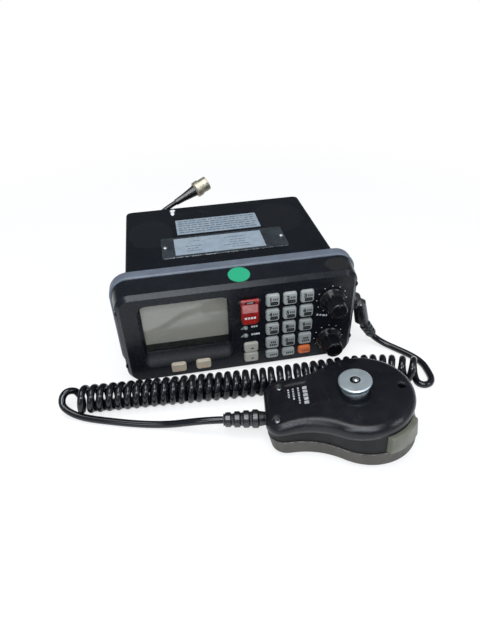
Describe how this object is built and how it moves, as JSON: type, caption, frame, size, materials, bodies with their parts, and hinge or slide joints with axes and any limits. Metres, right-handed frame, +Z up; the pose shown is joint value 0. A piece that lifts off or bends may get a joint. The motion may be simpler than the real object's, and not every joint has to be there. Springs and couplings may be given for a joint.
{
  "type": "vhf marine radio",
  "caption": "Marine radio: flush-mount transceiver with display, keypad, two knobs and flip-covered distress key, and a fist microphone on a curly cord.",
  "frame": {"origin": "centre of the case's flat underside, on the surface that the radio, the microphone and the cord lie on", "axes": "+Y towards the rear connectors, -Y out of the front panel, +X to the right seen from the front, +Z up"},
  "size_m": [0.3293, 0.3508, 0.1048],
  "materials": {
    "panel_black": "satin injection-moulded black",
    "flange_grey": "satin dark grey paint",
    "case_black": "semi-gloss black powder coat",
    "window_clear": "clear, slightly scuffed",
    "lcd_grey": "grey-green liquid crystal glass",
    "key_grey": "satin pale grey-green",
    "key_orange": "satin orange",
    "key_beige": "satin pale olive",
    "key_cream": "satin cream",
    "cover_red": "translucent red",
    "distress_red": "satin red",
    "knob_black": "satin black",
    "steel": "zinc-plated",
    "polished_metal": "polished, lightly scratched",
    "board_green": "solder mask",
    "mat_grey": "silicone rubber",
    "pot_metal": "plated can",
    "led_lens": "smoked lens",
    "plate_black": "black anodised",
    "label_paper": "pale blue-grey, faded",
    "heatsink_black": "black anodised",
    "cord_black": "glossy black jacket",
    "rubber_black": "satin black rubber",
    "nickel": "tarnished nickel",
    "mic_black": "polished black",
    "mic_band_grey": "satin dark grey",
    "mic_front_grey": "matt brown-grey",
    "ptt_olive": "satin olive grey"
  },
  "bodies": {
    "radio": {"antenna_boot": "rubber_black", "antenna_cable": "cord_black", "antenna_gland": "rubber_black", "antenna_jack": "nickel", "case_screws": "steel", "case_shell": "case_black", "control_pots": "pot_metal", "cord_coil": "cord_black", "cord_mic_lead": "cord_black", "cord_plug_lead": "cord_black", "cover_pin": "steel", "display_window": "window_clear", "front_board": "board_green", "front_panel": "panel_black", "keypad_mat": "mat_grey", "labels": "label_paper", "lcd_module": "lcd_grey", "main_board": "board_green", "mic_socket": "pot_metal", "mounting_flange": "flange_grey", "nameplate": "plate_black", "plug_body": "rubber_black", "power_inlet": "rubber_black", "rear_heatsink": "heatsink_black", "status_leds": "led_lens"},
    "key_1": {"key_1": "key_grey"},
    "key_2": {"key_2": "key_grey"},
    "key_3": {"key_3": "key_grey"},
    "key_4": {"key_4": "key_grey"},
    "key_5": {"key_5": "key_grey"},
    "key_6": {"key_6": "key_grey"},
    "key_7": {"key_7": "key_grey"},
    "key_8": {"key_8": "key_grey"},
    "key_9": {"key_9": "key_grey"},
    "key_star": {"key_star": "key_grey"},
    "key_0": {"key_0": "key_grey"},
    "key_hash": {"key_hash": "key_grey"},
    "key_menu": {"key_menu": "key_grey"},
    "key_clear": {"key_clear": "key_grey"},
    "key_enter": {"key_enter": "key_orange"},
    "key_up": {"key_up": "key_beige"},
    "key_down": {"key_down": "key_beige"},
    "key_soft_left": {"key_soft_left": "key_cream"},
    "key_soft_right": {"key_soft_right": "key_cream"},
    "distress_key": {"distress_key": "distress_red"},
    "distress_cover": {"distress_cover": "cover_red"},
    "volume_knob": {"volume_knob": "knob_black", "volume_shaft": "steel"},
    "squelch_knob": {"squelch_knob": "knob_black", "squelch_shaft": "steel"},
    "microphone": {"mic_front_shell": "mic_front_grey", "mic_band": "mic_band_grey", "mic_back_shell": "mic_black", "hangup_button": "polished_metal", "hangup_screw": "steel", "mic_screws": "steel", "mic_relief": "rubber_black", "mic_board": "board_green", "mic_capsule": "pot_metal"},
    "ptt_button": {"ptt_button": "ptt_olive"}
  },
  "joints": [
    {"name": "key_1_press", "type": "slide", "parent": "radio", "child": "key_1", "axis": [0, 1, 0], "range_m": [0, 0.001], "stiffness_N_per_m": 800, "springref_m": -0.0003},
    {"name": "key_2_press", "type": "slide", "parent": "radio", "child": "key_2", "axis": [0, 1, 0], "range_m": [0, 0.001], "stiffness_N_per_m": 800, "springref_m": -0.0003},
    {"name": "key_3_press", "type": "slide", "parent": "radio", "child": "key_3", "axis": [0, 1, 0], "range_m": [0, 0.001], "stiffness_N_per_m": 800, "springref_m": -0.0003},
    {"name": "key_4_press", "type": "slide", "parent": "radio", "child": "key_4", "axis": [0, 1, 0], "range_m": [0, 0.001], "stiffness_N_per_m": 800, "springref_m": -0.0003},
    {"name": "key_5_press", "type": "slide", "parent": "radio", "child": "key_5", "axis": [0, 1, 0], "range_m": [0, 0.001], "stiffness_N_per_m": 800, "springref_m": -0.0003},
    {"name": "key_6_press", "type": "slide", "parent": "radio", "child": "key_6", "axis": [0, 1, 0], "range_m": [0, 0.001], "stiffness_N_per_m": 800, "springref_m": -0.0003},
    {"name": "key_7_press", "type": "slide", "parent": "radio", "child": "key_7", "axis": [0, 1, 0], "range_m": [0, 0.001], "stiffness_N_per_m": 800, "springref_m": -0.0003},
    {"name": "key_8_press", "type": "slide", "parent": "radio", "child": "key_8", "axis": [0, 1, 0], "range_m": [0, 0.001], "stiffness_N_per_m": 800, "springref_m": -0.0003},
    {"name": "key_9_press", "type": "slide", "parent": "radio", "child": "key_9", "axis": [0, 1, 0], "range_m": [0, 0.001], "stiffness_N_per_m": 800, "springref_m": -0.0003},
    {"name": "key_star_press", "type": "slide", "parent": "radio", "child": "key_star", "axis": [0, 1, 0], "range_m": [0, 0.001], "stiffness_N_per_m": 800, "springref_m": -0.0003},
    {"name": "key_0_press", "type": "slide", "parent": "radio", "child": "key_0", "axis": [0, 1, 0], "range_m": [0, 0.001], "stiffness_N_per_m": 800, "springref_m": -0.0003},
    {"name": "key_hash_press", "type": "slide", "parent": "radio", "child": "key_hash", "axis": [0, 1, 0], "range_m": [0, 0.001], "stiffness_N_per_m": 800, "springref_m": -0.0003},
    {"name": "key_menu_press", "type": "slide", "parent": "radio", "child": "key_menu", "axis": [0, 1, 0], "range_m": [0, 0.001], "stiffness_N_per_m": 800, "springref_m": -0.0003},
    {"name": "key_clear_press", "type": "slide", "parent": "radio", "child": "key_clear", "axis": [0, 1, 0], "range_m": [0, 0.001], "stiffness_N_per_m": 800, "springref_m": -0.0003},
    {"name": "key_enter_press", "type": "slide", "parent": "radio", "child": "key_enter", "axis": [0, 1, 0], "range_m": [0, 0.001], "stiffness_N_per_m": 800, "springref_m": -0.0003},
    {"name": "key_up_press", "type": "slide", "parent": "radio", "child": "key_up", "axis": [0, 1, 0], "range_m": [0, 0.001], "stiffness_N_per_m": 800, "springref_m": -0.0003},
    {"name": "key_down_press", "type": "slide", "parent": "radio", "child": "key_down", "axis": [0, 1, 0], "range_m": [0, 0.001], "stiffness_N_per_m": 800, "springref_m": -0.0003},
    {"name": "key_soft_left_press", "type": "slide", "parent": "radio", "child": "key_soft_left", "axis": [0, 1, 0], "range_m": [0, 0.001], "stiffness_N_per_m": 800, "springref_m": -0.0003},
    {"name": "key_soft_right_press", "type": "slide", "parent": "radio", "child": "key_soft_right", "axis": [0, 1, 0], "range_m": [0, 0.001], "stiffness_N_per_m": 800, "springref_m": -0.0003},
    {"name": "distress_key_press", "type": "slide", "parent": "radio", "child": "distress_key", "axis": [0, 1, 0], "range_m": [0, 0.001], "stiffness_N_per_m": 800, "springref_m": -0.0003},
    {"name": "distress_cover_flip", "type": "hinge", "parent": "radio", "child": "distress_cover", "pos_m": [0.0074, -0.10225, 0.0773], "axis": [-1, 0, 0], "range_deg": [0, 110], "stiffness_Nm_per_rad": 0.004, "springref_deg": -11.46},
    {"name": "volume_turn", "type": "hinge", "parent": "radio", "child": "volume_knob", "pos_m": [0.0806, -0.10015, 0.067], "axis": [0, 1, 0], "range_deg": [0, 300]},
    {"name": "squelch_turn", "type": "hinge", "parent": "radio", "child": "squelch_knob", "pos_m": [0.0806, -0.10015, 0.0248], "axis": [0, 1, 0], "range_deg": [-150, 150]},
    {"name": "microphone_lift", "type": "slide", "parent": "radio", "child": "microphone", "axis": [0, 0, 1], "range_m": [0, 0.08]},
    {"name": "ptt_press", "type": "slide", "parent": "microphone", "child": "ptt_button", "axis": [-0.5314, 0.8471, 0], "range_m": [0, 0.0025], "stiffness_N_per_m": 900, "springref_m": -0.001}
  ]
}
